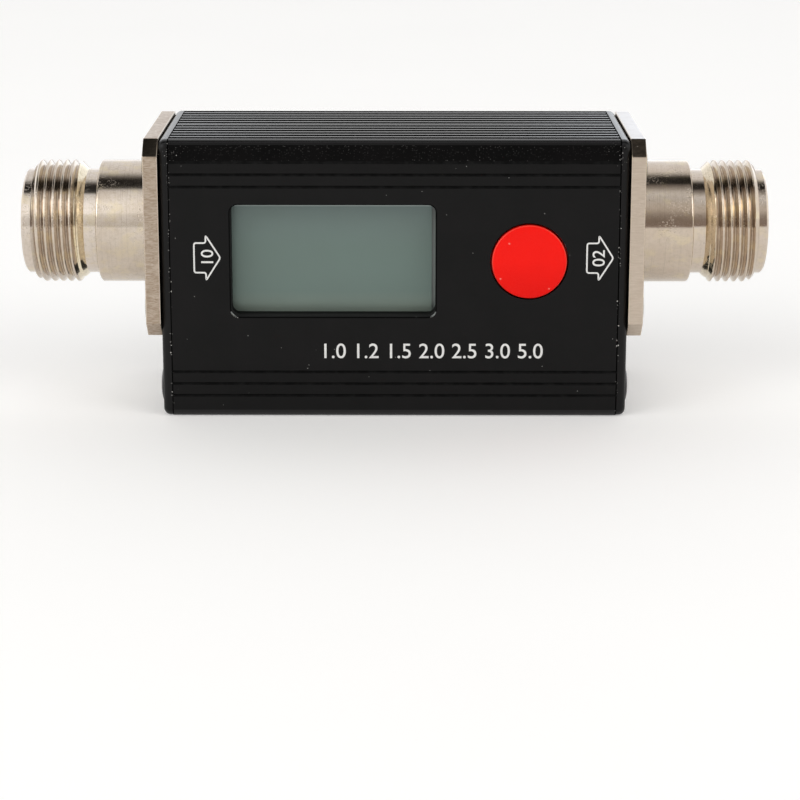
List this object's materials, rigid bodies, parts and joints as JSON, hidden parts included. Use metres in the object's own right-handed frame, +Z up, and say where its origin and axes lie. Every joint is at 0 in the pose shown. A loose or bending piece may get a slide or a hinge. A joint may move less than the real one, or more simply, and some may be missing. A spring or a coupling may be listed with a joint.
{
  "type": "inline swr meter",
  "caption": "Pocket inline SWR meter: black ribbed aluminium box with an LCD window, a red push button and a nickel-plated N socket on each end plate.",
  "frame": {"origin": "middle of the box's footprint, on the surface that the meter stands on", "axes": "+X along the signal path from the input socket to the output socket, +Y from the display face to the back face, +Z up"},
  "size_m": [0.0954, 0.0254, 0.0357],
  "materials": {
    "anodised_shell": "fine matt black anodising",
    "end_plate": "satin black anodising",
    "nickel": "machined brass, nickel plated",
    "ptfe": "white, slightly waxy",
    "contact": "gold plated",
    "steel_screw": "nickel plated",
    "black_screw": "black oxide",
    "lcd_film": "grey-green reflective display film",
    "lcd_glass": "clear glass over grey",
    "elastomer": "matt",
    "black_plastic": "fine moulded texture",
    "circuit_board": "green solder mask on glass fibre",
    "copper": "tinned copper",
    "ceramic_chip": "matt",
    "cell_wrap": "laminated foil pouch",
    "foam": "double-sided foam tape",
    "white_plastic": "moulded nylon",
    "red_lead": "insulated wire",
    "black_lead": "insulated wire",
    "tinned_steel": "tinned",
    "red_cap": "moulded, satin face"
  },
  "bodies": {
    "meter": {"front_shell": "anodised_shell", "rear_shell": "anodised_shell", "in_end_plate": "end_plate", "in_socket_body": "nickel", "in_socket_insulator": "ptfe", "in_socket_contact": "contact", "in_flange_screw_front_upper": "steel_screw", "in_flange_screw_front_lower": "steel_screw", "in_flange_screw_rear_upper": "steel_screw", "in_flange_screw_rear_lower": "steel_screw", "in_plate_screw_front": "black_screw", "in_plate_screw_rear": "black_screw", "out_end_plate": "end_plate", "out_socket_body": "nickel", "out_socket_insulator": "ptfe", "out_socket_contact": "contact", "out_flange_screw_front_upper": "steel_screw", "out_flange_screw_front_lower": "steel_screw", "out_flange_screw_rear_upper": "steel_screw", "out_flange_screw_rear_lower": "steel_screw", "out_plate_screw_front": "black_screw", "out_plate_screw_rear": "black_screw", "lcd_film": "lcd_film", "lcd_glass": "lcd_glass", "lcd_strip_upper": "elastomer", "lcd_strip_lower": "elastomer", "lcd_frame": "black_plastic", "main_board": "circuit_board", "coupler_board": "circuit_board", "coupler_line": "copper", "microcontroller": "black_plastic", "board_link_pins": "black_plastic", "board_link_socket": "black_plastic", "forward_detector_diode": "black_plastic", "forward_load_resistor": "ceramic_chip", "reverse_detector_diode": "black_plastic", "reverse_load_resistor": "ceramic_chip", "battery_cell": "cell_wrap", "battery_tape": "foam", "battery_socket": "white_plastic", "battery_lead_positive": "red_lead", "battery_lead_negative": "black_lead", "charging_socket_shell": "tinned_steel", "charging_socket_tongue": "black_plastic", "switch_housing": "black_plastic"},
    "button": {"button_cap": "red_cap", "switch_stem": "white_plastic"}
  },
  "joints": [
    {"name": "button_press", "type": "slide", "parent": "meter", "child": "button", "axis": [0, 1, 0], "range_m": [0, 0.0003], "stiffness_N_per_m": 3000, "springref_m": -0.0002}
  ]
}
